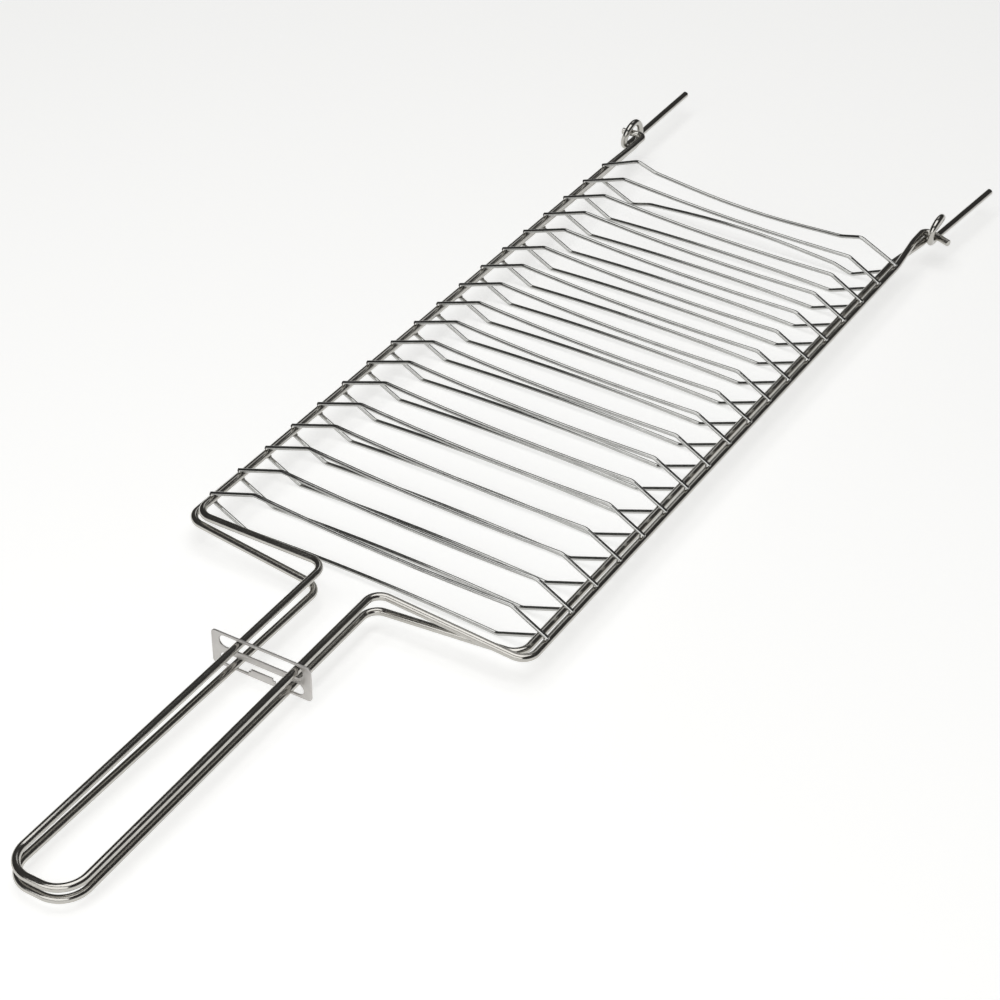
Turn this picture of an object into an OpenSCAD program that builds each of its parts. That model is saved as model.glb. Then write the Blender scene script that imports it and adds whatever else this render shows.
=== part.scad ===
// Hinged wire grill grate, shut and latched: two grates of bent rod with cross wires welded on,
// pins of the upper one turning in rings of the lower one, and a slotted plate that slides along
// the double handle and holds its two loops together.
// Millimetres. +Y runs from the handle to the hinge, +Z up. The origin is the middle of the
// footprint, on the surface that the grate lies on.

/* [Rod and wire] */
// Diameter of the rod that both frames are bent from
rod_d = 4; // [3.6:0.1:4.2]
// Diameter of the cross wires
wire_d = 2.2; // [2:0.1:2.6]
// Depth that a weld sinks a cross wire into the rod
weld_sink = 0.1; // [0.05:0.05:0.2]

/* [Grate] */
// Width between the centrelines of the two side rods
grate_w = 190.8; // [186:0.2:196]
// Number of cross wires on each grate
wire_count = 18; // [18:1:18]
// Distance from one cross wire to the next
wire_pitch = 23; // [22.6:0.1:23.2]
// Distance that a cross wire reaches past the centreline of the side rod
wire_over = 0.9; // [0.4:0.1:1.6]
// Width between the two bends of a cross wire
plateau_w = 145.7; // [140:0.1:150]
// Shift of both bends of a wire to one side
plateau_shift = 3.1; // [0:0.1:4]
// Height of the bends of a wire over its ends
plateau_rise = 10.4; // [8:0.1:12]
// Depth that the middle of a wire bows in towards the food
wire_bow = 2; // [1.5:0.1:3]
// Inside radius of the two bends of a wire
wire_bend_r = 4; // [3:0.5:5]
// Distance on both sides of its middle over which a wire bows
bow_reach = 60; // [40:1:62]
// Distance from the bends of a last wire to its knees
knee_in = 12; // [9:0.5:15]
// Drop from the bends of a last wire to its knees
knee_drop = 3.6; // [2:0.1:4.5]
// Drop from the bends of a last wire to the meeting point of its middle's two slopes
last_sag = 8.6; // [6:0.1:10]
// Bend radius of the knees
knee_r = 12; // [6:1:20]
// Distance on both sides of its middle over which a last wire curves
sag_reach = 36; // [20:1:44]
// Distance of the lower grate's first cross wire behind the upper grate's
lower_y = 9.2; // [8:0.1:11]
// Centreline radius of the frames' near corners
corner_r = 8; // [6:0.5:9]

/* [Lie of the upper grate, from the play in the hinge] */
// Sideways shift of the upper grate
lie_x = 6.2; // [5.8:0.1:6.4]
// Height of the upper frame over the lower one at the first wire
lie_z = 4.4; // [4.3:0.1:5]
// Lean of the upper grate down to the right, in degrees
lie_roll = 1.55; // [1.4:0.05:1.65]
// Rise of the upper grate towards the hinge, in degrees
lie_pitch = 0.36; // [0.3:0.01:0.4]

/* [Handle] */
// Distance of the handle's end from the first wire
handle_end_y = 243; // [230:1:250]
// Half width of the lower handle loop at its root
lower_root_w = 14.6; // [13.5:0.1:15.5]
// Half width of the upper handle loop at its root
upper_root_w = 15.8; // [15:0.1:16.4]
// Shift of the upper handle's root to the right
upper_lean_root = 2.8; // [2:0.1:3.4]
// Half width of both handle loops at their end
handle_end_w = 17.3; // [16.5:0.1:18]
// Bend radius at the corners of the handle's end
handle_end_r = 13.5; // [11:0.5:15]
// Bend radius where the handle leaves the near edge
handle_root_r = 8; // [6:0.5:9]
// Height between the two loops at the handle's root
gap_root = 13; // [12.6:0.1:13.6]
// Height between the two loops at the handle's end
gap_end = 6.7; // [6.2:0.1:7.2]
// Drop of the lower loop at the root, below the plane of its frame
drop_root = 5.8; // [5:0.1:7]
// Drop of the lower loop at the end
drop_end = 8.1; // [7:0.1:9]
// Lean of both loops up to the right, in degrees
handle_tilt = 1; // [0:0.1:2]
// Distance of the upper frame's near corners before its first wire
upper_corner_y = 15; // [14.6:0.1:17]
// Distance that the upper right corner stands before this and the left one behind it
corner_skew = 1.5; // [1:0.1:2]
// Distance of the upper handle's root before its first wire
upper_root_y = 15; // [14.5:0.5:19]
// Distance that the right side of the upper root stands before this and the left one behind it
root_skew = 2.5; // [0:0.1:3]
// Distance of the lower frame's near corners before the upper grate's first wire
lower_corner_y = 12; // [10:0.1:12.4]
// Distance of the lower handle's root before the upper grate's first wire
lower_root_y = 15.5; // [13:0.5:17]

/* [Latch plate] */
// Distance of the latch plate from the first wire when it is shut
latch_y = 81.5; // [75:0.5:90]
// Width of the latch plate
latch_w = 55.5; // [54:0.5:57]
// Thickness of the latch plate
latch_t = 1; // [0.8:0.1:1.2]
// Corner radius of the latch plate
latch_r = 2; // [1:0.5:3]
// Width of the strips above and below the slots
latch_strip = 1.35; // [1.2:0.05:2]
// Width of the bar between the slots
latch_bar = 3.5; // [3.2:0.1:3.8]
// Length of both slots
slot_len = 47; // [46:0.5:48]
// Free height between a rod and the slot edge that holds it
latch_hold = 0.8; // [0.6:0.05:0.9]
// Free width between a slot's end and the nearest rod
slot_side = 2; // [1.8:0.1:2.2]
// Free height between the rods and the bar where the plate stops at the end of its slide
slide_clear = 0.3; // [0.2:0.05:0.5]
// Width of the raised tab in the lower slot
tab_w = 15; // [12:0.5:18]
// Height of the raised tab
tab_h = 2.9; // [2:0.1:3.2]
// Width and height of the step at both ends of the tab
tab_step = 1.4; // [1:0.1:1.8]

/* [Hinge] */
// Distance of the right ring behind the upper grate's last wire
hinge_gap = 49; // [48:0.5:52]
// Distance of the left ring behind the right one
ring_set = 2.5; // [1:0.1:3]
// Distance of the pins behind the right ring
pin_set = 2; // [1.6:0.1:2.4]
// Radius of the rings, half the height of their centreline
ring_r = 7.8; // [7.7:0.1:8.2]
// Distance that the ring's coil moves outwards
ring_lead = 4.3; // [4.2:0.1:5]
// Distance that the right ring leans out at its top
lean_right = 4.5; // [3:0.5:6]
// Distance that the left ring leans in at its top
lean_left = 1; // [0:0.5:2]
// Distance that the lower right side rod flares out to its ring
flare_right = 5.2; // [4.6:0.1:5.6]
// Distance that the lower left side rod flares out to its ring
flare_left = 0.6; // [0.5:0.1:1.5]
// Distance that the upper right side rod is drawn in to its pin
draw_right = 3; // [2.6:0.1:4]
// Distance that the upper left side rod is drawn in to its pin
draw_left = 0.5; // [0.4:0.1:1]
// Bend radius where the side rods flare or draw in
joggle_r = 50; // [40:5:60]
// Distance from the last wire to the place where the side rods flare or draw in
joggle_gap = 4; // [3:0.5:5]
// Length over which the side rods flare or draw in
joggle_len = 30; // [24:1:30]
// Length of the right tail behind its ring
tail_right = 73; // [60:1:90]
// Length of the left tail behind its ring
tail_left = 79; // [60:1:90]
// Distance from the ring to the bend that splays its tail
tail_bend = 6; // [5:1:12]
// Bend radius of the splay
tail_bend_r = 100; // [90:5:110]
// Splay of the right tail, in degrees
splay_right = 4.8; // [2:0.1:5.4]
// Splay of the left tail, in degrees
splay_left = 1.2; // [0.6:0.1:2]
// Length of the right pin from the centreline of its side rod
pin_right = 17.5; // [16.5:0.1:19]
// Length of the left pin from the centreline of its side rod
pin_left = 14.5; // [13.5:0.1:18]
// Bend radius between side rod and pin
pin_bend_r = 4; // [3:0.5:4.5]
// Turn of the right pin past a right angle, in degrees
over_right = 20; // [12:1:22]
// Turn of the left pin past a right angle, in degrees
over_left = 10; // [4:1:12]

/* [View] */
// Node to show

/* [Hidden] */
round_fn = 32;
sweep_fn = 72;
bow_fn = 288;
lap = 0.1;
bend_thin = 0.04;
// Step of the sizes that punches come in
punch_step = 0.05;
rod_r = rod_d / 2;
side_x = grate_w / 2;
bend_x = plateau_w / 2;
weld_h = rod_r + wire_d / 2 - weld_sink;
rise_z = weld_h + plateau_rise;
elbow_r = wire_bend_r + wire_d / 2;
last_y = (wire_count - 1) * wire_pitch;
lower_joggle = lower_y + last_y + joggle_gap;
upper_joggle = last_y + joggle_gap;
ring_y = last_y + hinge_gap;
pin_y = ring_y + pin_set;
bow_vertex = wire_bow / (1 - bow_reach / plateau_w);
bow_r = bow_reach * bend_x / bow_vertex;
sag_slope = atan((last_sag - knee_drop) / (bend_x - knee_in));
sag_r = sag_reach / tan(sag_slope);
frame_bends = [
    joggle_r, joggle_r, corner_r, handle_root_r, handle_end_r,
    handle_end_r, handle_root_r, corner_r, joggle_r, joggle_r
];
rods_apart = (upper_z(latch_y) - lower_z(latch_y)) * cos(handle_tilt);
slot_h = round((rods_apart + rod_d + 2 * latch_hold - latch_bar) / 2 / punch_step) * punch_step;
slot_z = (latch_bar + slot_h) / 2;
latch_h = latch_bar + 2 * slot_h + 2 * latch_strip;
slot_right = upper_lean(latch_y) + upper_half(latch_y) + rod_r + slot_side;
latch_x = slot_right - slot_len / 2;
latch_z = (upper_z(latch_y) + lower_z(latch_y)) / 2 + latch_x * tan(handle_tilt);
x_max = lie_x + side_x - draw_right + pin_right + rod_r * sin(over_right);
x_min = lie_x - side_x + draw_left - pin_left - rod_r * sin(over_left);
y_max = ring_y + max(tail_right, ring_set + tail_left);
y_min = -handle_end_y - rod_r;

function unit(v) = v / norm(v);
function mix(a, b, t) = a + (b - a) * t;

// Straight piece of rod from a to b
module rod_piece(a, b, d) {
    w = unit(b - a);
    u = unit(cross(abs(w.z) < 0.9 ? [0, 0, 1] : [1, 0, 0], w));
    v = cross(w, u);
    multmatrix([[u.x, v.x, w.x, a.x], [u.y, v.y, w.y, a.y], [u.z, v.z, w.z, a.z]])
        cylinder(h = norm(b - a), d = d, $fn = round_fn);
}

// Bend of centreline radius r about c, from the radius direction u along v
module rod_arc(c, u, v, r, angle, d, fn) {
    w = cross(u, v);
    multmatrix([[u.x, v.x, w.x, c.x], [u.y, v.y, w.y, c.y], [u.z, v.z, w.z, c.z]])
        rotate_extrude(angle = angle, $fn = fn)
            translate([r, 0])
                circle(d = d - bend_thin, $fn = round_fn);
}

// Round rod along the points p, bent at each inner point to the centreline radius in r
module bent_rod(p, r, d, fn = sweep_fn) {
    last = len(p) - 1;
    dir = [for (i = [0:last - 1]) unit(p[i + 1] - p[i])];
    turn = [for (i = [1:last - 1]) acos(min(1, dir[i - 1] * dir[i]))];
    cut = concat([0], [for (i = [1:last - 1]) r[i - 1] * tan(turn[i - 1] / 2) - lap], [0]);
    for (i = [0:last - 1])
        rod_piece(p[i] + dir[i] * cut[i], p[i + 1] - dir[i] * cut[i + 1], d);
    for (i = [1:last - 1]) {
        c = p[i] + unit(dir[i] - dir[i - 1]) * r[i - 1] / cos(turn[i - 1] / 2);
        u = unit(p[i] - dir[i - 1] * (cut[i] + lap) - c);
        rod_arc(c, u, dir[i - 1], r[i - 1], turn[i - 1], d, fn);
    }
}

// Place of a point of the common frame in the upper grate's own frame
function own(p) =
    let (q = p - [lie_x, 0, lie_z],
         x = q.x * cos(lie_roll) - q.z * sin(lie_roll),
         z = q.x * sin(lie_roll) + q.z * cos(lie_roll))
    [x, q.y * cos(lie_pitch) + z * sin(lie_pitch), z * cos(lie_pitch) - q.y * sin(lie_pitch)];

// Heights of the two handle loops at the distance y before the first wire
function lower_z(y) =
    mix(-drop_root, -drop_end, (y - lower_root_y) / (handle_end_y - lower_root_y));
function upper_z(y) =
    mix(gap_root - drop_root, gap_end - drop_end, (y - upper_root_y) / (handle_end_y - upper_root_y));
function upper_lean(y) = upper_lean_root * (handle_end_y - y) / (handle_end_y - upper_root_y);
function upper_half(y) =
    mix(upper_root_w, handle_end_w, (y - upper_root_y) / (handle_end_y - upper_root_y));
function lower_point(s, w, y) = [s * w, -y, lower_z(y) + s * w * tan(handle_tilt)];
function upper_point(s, y) =
    let (x = upper_lean(y) + s * upper_half(y))
    own([x, -y, upper_z(y) + x * tan(handle_tilt)]);

// Tip of a wire's leg: the leg leaves the bend b and touches the side rod on side s
function leg_tip(b, s) =
    let (dx = side_x - s * b.x,
         slope = asin(weld_h / norm([dx, b.z])) - atan2(b.z, dx),
         reach = dx + wire_over)
    [b.x + s * reach, 0, b.z + reach * tan(slope)];

// Height that rounding takes off the top of the bend b on side s, with the middle at m
function bend_cut(b, s, m) =
    let (leg = unit(b - leg_tip(b, s)),
         next = unit(m - b),
         half = acos(leg * next) / 2)
    -(unit(next - leg).z * elbow_r / cos(half)) - elbow_r;

// Points and bend radii of a wire, arched upwards
function wire_points(bends) =
    concat([leg_tip(bends[0], -1)], bends, [leg_tip(bends[len(bends) - 1], 1)]);
plain_bends = [
    [plateau_shift - bend_x, 0, rise_z],
    [plateau_shift, 0, rise_z - bow_vertex],
    [plateau_shift + bend_x, 0, rise_z]
];
last_bends = [
    [-bend_x, 0, rise_z],
    [knee_in - bend_x, 0, rise_z - knee_drop],
    [0, 0, rise_z - last_sag],
    [bend_x - knee_in, 0, rise_z - knee_drop],
    [bend_x, 0, rise_z]
];

bend_fall = min(
    bend_cut(plain_bends[0], -1, plain_bends[1]),
    bend_cut(plain_bends[2], 1, plain_bends[1]),
    bend_cut(last_bends[0], -1, last_bends[1])
);
z_min = bend_fall - rise_z - wire_d / 2;
home = [-(x_min + x_max) / 2, -(y_min + y_max) / 2, -z_min];

module cross_wire(i) {
    translate([0, (i - 1) * wire_pitch, 0])
        if (i < wire_count)
            bent_rod(wire_points(plain_bends), [elbow_r, bow_r, elbow_r], wire_d, bow_fn);
        else
            bent_rod(wire_points(last_bends), [elbow_r, knee_r, sag_r, knee_r, elbow_r], wire_d, bow_fn);
}

// Puts the upper grate in its place on the lower one
module lie() {
    translate([lie_x, 0, lie_z])
        rotate([lie_pitch, lie_roll, 0])
            children();
}

// Ring with a tail at the end of a lower side rod on side s, from the place x, y of that rod
module ring(s, x, y, lean, tail_len, splay) {
    start = [s * x, y, 0];
    top = [s * (x + ring_lead / 2 + lean), y, 2 * ring_r];
    end = [s * (x + ring_lead), y, 0];
    rod_arc((start + top) / 2, unit(start - top), [0, 1, 0], norm(top - start) / 2, 180, rod_d, sweep_fn);
    rod_arc((top + end) / 2, unit(top - end), [0, -1, 0], norm(end - top) / 2, 180, rod_d, sweep_fn);
    rod_piece(top - [0, lap, 0], top + [0, lap, 0], rod_d);
    bent_rod([
        end - [0, lap, 0],
        end + [0, tail_bend, 0],
        end + [s * (tail_len - tail_bend) * tan(splay), tail_len, 0]
    ], [tail_bend_r], rod_d);
}

module lower_frame() {
    right = side_x + flare_right;
    left = -side_x - flare_left;
    color("silver")
        translate(home) {
            bent_rod([
                [right, ring_y + lap, 0],
                [right, lower_joggle + joggle_len, 0],
                [side_x, lower_joggle, 0],
                [side_x, -lower_corner_y, 0],
                lower_point(1, lower_root_w, lower_root_y),
                lower_point(1, handle_end_w, handle_end_y),
                lower_point(-1, handle_end_w, handle_end_y),
                lower_point(-1, lower_root_w, lower_root_y),
                [-side_x, -lower_corner_y, 0],
                [-side_x, lower_joggle, 0],
                [left, lower_joggle + joggle_len, 0],
                [left, ring_y + ring_set + lap, 0]
            ], frame_bends, rod_d);
            ring(1, right, ring_y, lean_right, tail_right, splay_right);
            ring(-1, -left, ring_y + ring_set, -lean_left, tail_left, splay_left);
        }
}

module upper_frame() {
    right = side_x - draw_right;
    left = draw_left - side_x;
    color("silver")
        translate(home)
            lie()
                bent_rod([
                    [right + pin_right, pin_y - pin_right * tan(over_right), 0],
                    [right, pin_y, 0],
                    [right, upper_joggle + joggle_len, 0],
                    [side_x, upper_joggle, 0],
                    [side_x, -upper_corner_y - corner_skew, 0],
                    upper_point(1, upper_root_y + root_skew),
                    upper_point(1, handle_end_y),
                    upper_point(-1, handle_end_y),
                    upper_point(-1, upper_root_y - root_skew),
                    [-side_x, corner_skew - upper_corner_y, 0],
                    [-side_x, upper_joggle, 0],
                    [left, upper_joggle + joggle_len, 0],
                    [left, pin_y, 0],
                    [left - pin_left, pin_y - pin_left * tan(over_left), 0]
                ], concat([pin_bend_r], frame_bends, [pin_bend_r]), rod_d);
}

module upper_wire(i) {
    color("gainsboro")
        translate(home)
            lie()
                cross_wire(i);
}

module lower_wire(i) {
    color("gainsboro")
        translate(home)
            translate([0, lower_y, 0])
                rotate([0, 180, 0])
                    cross_wire(i);
}

// Slot with round ends, centred
module slot() {
    for (s = [-1, 1])
        translate([s * (slot_len - slot_h) / 2, 0])
            circle(d = slot_h, $fn = sweep_fn);
    square([slot_len - slot_h, slot_h], center = true);
}

module plate_outline() {
    square([latch_w - 2 * latch_r, latch_h], center = true);
    square([latch_w, latch_h - 2 * latch_r], center = true);
    for (s = [-1, 1], t = [-1, 1])
        translate([s * (latch_w / 2 - latch_r), t * (latch_h / 2 - latch_r)])
            circle(r = latch_r, $fn = sweep_fn);
}

// Tab left standing in the lower edge of the lower slot, with a step at both ends
module tab() {
    translate([-tab_w / 2, -lap])
        square([tab_w, tab_h / 2 + lap]);
    translate([tab_step - tab_w / 2, 0])
        square([tab_w - 2 * tab_step, tab_h]);
}

module latch_plate() {
    color("whitesmoke")
        translate(home)
            translate([latch_x, -latch_y, latch_z])
                rotate([0, -handle_tilt, 0])
                    rotate([90, 0, 0])
                        translate([0, 0, -latch_t / 2])
                            linear_extrude(latch_t) {
                                difference() {
                                    plate_outline();
                                    translate([0, slot_z])
                                        slot();
                                    translate([0, -slot_z])
                                        slot();
                                }
                                translate([0, -latch_bar / 2 - slot_h])
                                    tab();
                            }
}

lower_frame();
upper_frame();
latch_plate();
for (i = [1:wire_count]) {
    upper_wire(i);
    lower_wire(i);
}
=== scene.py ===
"""Looks of a hinged wire grill grate: plated rods, cross wires, latch plate and the studio."""
import math

import bmesh
import bpy
from bpy.props import (
    FloatProperty,
    FloatVectorProperty,
    IntProperty,
    PointerProperty,
    StringProperty,
)
from bpy.types import Operator, Panel, PropertyGroup
from mathutils import Matrix, Vector


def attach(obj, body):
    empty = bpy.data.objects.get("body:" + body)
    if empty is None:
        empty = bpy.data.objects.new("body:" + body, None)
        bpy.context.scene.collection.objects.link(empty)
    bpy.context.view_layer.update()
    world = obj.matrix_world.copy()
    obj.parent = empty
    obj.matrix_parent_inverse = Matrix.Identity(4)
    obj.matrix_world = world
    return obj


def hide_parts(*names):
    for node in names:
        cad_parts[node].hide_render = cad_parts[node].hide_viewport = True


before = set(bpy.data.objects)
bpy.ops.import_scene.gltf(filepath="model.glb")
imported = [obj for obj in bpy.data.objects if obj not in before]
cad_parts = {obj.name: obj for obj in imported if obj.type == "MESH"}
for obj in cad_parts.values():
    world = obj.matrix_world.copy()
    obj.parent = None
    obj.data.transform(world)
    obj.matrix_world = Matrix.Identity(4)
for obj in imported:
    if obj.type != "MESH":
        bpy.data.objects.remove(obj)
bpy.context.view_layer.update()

bl_info = {
    "name": "Grill grate",
    "version": (1, 0, 0),
    "blender": (4, 5, 0),
    "location": "3D View > Sidebar > Grill grate",
    "description": "Builds the looks of a hinged wire grill grate on its packed frame",
    "category": "Object",
}

# One millimetre in metres
MM = 0.001


# Settings


def length(name, description, mm):
    """A length, given in millimetres and kept in metres."""
    return FloatProperty(
        name=name, description=description, default=mm * MM, min=0.0, precision=5,
        unit="LENGTH", subtype="DISTANCE")


def angle(name, description, degrees):
    """An angle, given in degrees and kept in radians."""
    return FloatProperty(
        name=name, description=description, default=math.radians(degrees),
        unit="ROTATION", subtype="ANGLE")


def hex_colour(name, description, code):
    """A colour, given and kept as an sRGB hex code."""
    return StringProperty(name=name, description=description, default=code, maxlen=6)


class RodSettings(PropertyGroup):
    """Rod, wire and welds of both grates."""

    rod_d: length("Rod", "Diameter of the frame rod", 4.0)
    wire_d: length("Wire", "Diameter of the cross wires", 2.2)
    weld_sink: length("Weld sink", "Depth that a weld sinks a wire into the rod", 0.1)
    weld_r: length("Weld", "Half length of a weld along its wire", 1.5)
    cut_edge: length("Cut edge", "Width of the rounded edge on a cut end", 0.25)
    rod_sides: IntProperty(name="Rod sides", description="Sides of the rod's section", default=28, min=8)
    wire_sides: IntProperty(name="Wire sides", description="Sides of a wire's section", default=16, min=8)


class WireSettings(PropertyGroup):
    """The cross wires, and the width and the near corners of the frames that carry them."""

    grate_w: length("Width", "Width between the side rods' centrelines", 190.8)
    count: IntProperty(name="Wires", description="Cross wires on each grate", default=18, min=2)
    pitch: length("Pitch", "Distance from one cross wire to the next", 23.0)
    wire_over: length("Overhang", "Reach of a wire past the rod's centreline", 0.9)
    plateau_w: length("Plateau", "Width between the bends of a wire", 145.7)
    plateau_shift: length("Shift", "Shift of both bends to one side", 3.1)
    plateau_rise: length("Rise", "Height of the bends over the ends", 10.4)
    wire_bow: length("Bow", "Depth that a wire's middle bows in", 2.0)
    wire_bend_r: length("Bend", "Inside radius of the bends", 4.0)
    bow_reach: length("Bow reach", "Distance on both sides over which a wire bows", 60.0)
    knee_in: length("Knee", "Distance from the last wire's bends to its knees", 12.0)
    knee_drop: length("Knee drop", "Drop from the last wire's bends to its knees", 3.6)
    last_sag: length("Sag", "Drop to the meeting point of the last wire's slopes", 8.6)
    knee_r: length("Knee radius", "Bend radius of the knees", 12.0)
    sag_reach: length("Sag reach", "Distance on both sides over which the last wire curves", 36.0)
    lower_y: length("Lower start", "Distance of the lower first wire behind the upper one", 9.2)
    jitter: length("Jitter", "Largest shift of a wire to one side", 0.15)
    corner_r: length("Corner", "Centreline radius of the near corners", 8.0)


class LieSettings(PropertyGroup):
    """How the upper grate lies on the lower one."""

    x: length("Sideways", "Sideways shift", 6.2)
    z: length("Height", "Height over the lower frame at the first wire", 4.4)
    roll: angle("Roll", "Lean down to the right", 1.55)
    pitch: angle("Pitch", "Rise towards the hinge", 0.36)


class HandleSettings(PropertyGroup):
    """The double handle."""

    end_y: length("End", "Distance of the handle's end from the first wire", 243.0)
    lower_root_w: length("Lower root width", "Half width of the lower loop's root", 14.6)
    upper_root_w: length("Upper root width", "Half width of the upper loop's root", 15.8)
    upper_lean: length("Lean", "Shift of the upper root to the right", 2.8)
    end_w: length("End width", "Half width of both loops at the end", 17.3)
    end_r: length("End radius", "Bend radius at the handle's end", 13.5)
    root_r: length("Root radius", "Bend radius at the handle's root", 8.0)
    gap_root: length("Root gap", "Height between the loops at the root", 13.0)
    gap_end: length("End gap", "Height between the loops at the end", 6.7)
    drop_root: length("Root drop", "Drop of the lower loop at the root", 5.8)
    drop_end: length("End drop", "Drop of the lower loop at the end", 8.1)
    tilt: angle("Tilt", "Lean up to the right", 1.0)
    upper_corner_y: length("Upper corner", "Upper near corners before the first wire", 15.0)
    corner_skew: length("Corner skew", "Right corner before and left one behind the upper corner", 1.5)
    upper_root_y: length("Upper root", "Upper root before the first wire", 15.0)
    root_skew: length("Root skew", "Right side before and left side behind the upper root", 2.5)
    lower_corner_y: length("Lower corner", "Lower near corners before the first wire", 12.0)
    lower_root_y: length("Lower root", "Lower root before the first wire", 15.5)


class HingeSettings(PropertyGroup):
    """Rings, tails and pins."""

    gap: length("Gap", "Distance of the right ring behind the last wire", 49.0)
    ring_set: length("Ring set", "Distance of the left ring behind the right one", 2.5)
    pin_set: length("Pin set", "Distance of the pins behind the right ring", 2.0)
    ring_r: length("Ring radius", "Half the height of the rings' centreline", 7.8)
    ring_lead: length("Lead", "Distance that the ring's coil moves outwards", 4.3)
    lean_right: length("Right lean", "Distance that the right ring leans out at its top", 4.5)
    lean_left: length("Left lean", "Distance that the left ring leans in at its top", 1.0)
    flare_right: length("Right flare", "Flare of the lower right rod", 5.2)
    flare_left: length("Left flare", "Flare of the lower left rod", 0.6)
    draw_right: length("Right draw", "Draw of the upper right rod", 3.0)
    draw_left: length("Left draw", "Draw of the upper left rod", 0.5)
    joggle_r: length("Joggle radius", "Bend radius of flare and draw", 50.0)
    joggle_gap: length("Joggle gap", "Distance from the last wire to the joggle", 4.0)
    joggle_len: length("Joggle length", "Length of the joggle", 30.0)
    tail_right: length("Right tail", "Length of the right tail behind its ring", 73.0)
    tail_left: length("Left tail", "Length of the left tail behind its ring", 79.0)
    tail_bend: length("Tail bend", "Distance from ring to the tail's bend", 6.0)
    tail_bend_r: length("Tail radius", "Bend radius of the splay", 100.0)
    splay_right: angle("Right splay", "Splay of the right tail", 4.8)
    splay_left: angle("Left splay", "Splay of the left tail", 1.2)
    pin_right: length("Right pin", "Length of the right pin from its side rod", 17.5)
    pin_left: length("Left pin", "Length of the left pin from its side rod", 14.5)
    pin_bend_r: length("Pin radius", "Bend radius of the pins", 4.0)
    over_right: angle("Right over-bend", "Turn of the right pin past a right angle", 20.0)
    over_left: angle("Left over-bend", "Turn of the left pin past a right angle", 10.0)


class PlateSettings(PropertyGroup):
    """The latch plate's edges."""

    die_roll: length("Edge", "Rounding that the punch leaves on the plate's edges", 0.18)


class FinishSettings(PropertyGroup):
    """Colours of the metals."""

    rod_light: hex_colour("Rod, light", "Lighter tone of the rods' nickel", "C8C6C1")
    rod_dark: hex_colour("Rod, dark", "Darker tone of the rods' nickel", "ADAAA4")
    wire_light: hex_colour("Wire, light", "Lighter tone of the wires' nickel", "C8C8C6")
    wire_dark: hex_colour("Wire, dark", "Darker tone of the wires' nickel", "ABABA8")
    weld_light: hex_colour("Weld, light", "Lighter tone of the welds", "D2D0CC")
    weld_dark: hex_colour("Weld, dark", "Darker tone of the welds", "ACAAA5")
    plate_light: hex_colour("Plate, light", "Lighter tone of the latch plate's zinc", "D1CFCC")
    plate_dark: hex_colour("Plate, dark", "Darker tone of the latch plate's zinc", "BDBAB7")


class StageSettings(PropertyGroup):
    """Floor, lamps and camera."""

    floor_colour: hex_colour("Floor", "Colour of the floor's card", "D9D9D8")
    floor_glow: FloatProperty(
        name="Glow", description="Light from under the floor's card", default=0.87, min=0.0)
    world: FloatProperty(name="World", description="Strength of the dim room", default=0.05, min=0.0)
    focal: FloatProperty(
        name="Lens", description="Focal length", default=89.41, unit="CAMERA", subtype="DISTANCE_CAMERA")
    azimuth: angle("Azimuth", "Camera azimuth", 30.325)
    elevation: angle("Elevation", "Camera's angle over the floor's plane", 36.695)
    roll: angle("Roll", "Camera roll", 1.740)
    place: FloatVectorProperty(
        name="Place", description="Camera place from the first wire",
        default=(0.5265, -0.7726, 0.7402), size=3, unit="LENGTH", subtype="TRANSLATION")


# Geometry of the bent rods


# Degrees of turn between two points of a bend, and of a tail's faint bend
BEND_STEP, FAINT_STEP = 6.0, 1.0
# Fewest straight stretches of a bend, and of one whose radius in metres is over WIDE_RADIUS
BEND_PARTS, WIDE_PARTS = 2, 6
WIDE_RADIUS = 0.2
# Straight stretches of half a hinge ring
HALF_TURN_PARTS = 40
# Turn in radians under which a path counts as straight
STRAIGHT = 1e-5


def mix(start, end, share):
    """The value that lies the given share of the way from start to end."""
    return start + (end - start) * share


def arc(centre, out, along, radius, turn, parts):
    """Points of a turn about centre. out is the direction of the first one, and along the way it sets off."""
    angles = [turn * i / parts for i in range(parts + 1)]
    return [centre + (out * math.cos(a) + along * math.sin(a)) * radius for a in angles]


def half_turn(start, end, along):
    """Points of half a turn from start to end. along is the way it sets off."""
    out = (start - end).normalized()
    return arc((start + end) / 2, out, along, (end - start).length / 2, math.pi, HALF_TURN_PARTS)


def bend_path(corners, radii, step=BEND_STEP):
    """Points along a rod that is bent at each inner corner to the given centreline radius."""
    corners = [Vector(corner) for corner in corners]
    path = [corners[0]]
    for before, corner, after, radius in zip(corners, corners[1:], corners[2:], radii):
        ahead, onward = (corner - before).normalized(), (after - corner).normalized()
        turn = ahead.angle(onward)
        if turn < STRAIGHT:
            continue
        cut = radius * math.tan(turn / 2)
        centre = corner + (onward - ahead).normalized() * radius / math.cos(turn / 2)
        out = (corner - ahead * cut - centre).normalized()
        fewest = WIDE_PARTS if radius > WIDE_RADIUS else BEND_PARTS
        path += arc(centre, out, ahead, radius, turn, max(fewest, math.ceil(math.degrees(turn) / step)))
    return path + [corners[-1]]


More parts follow.
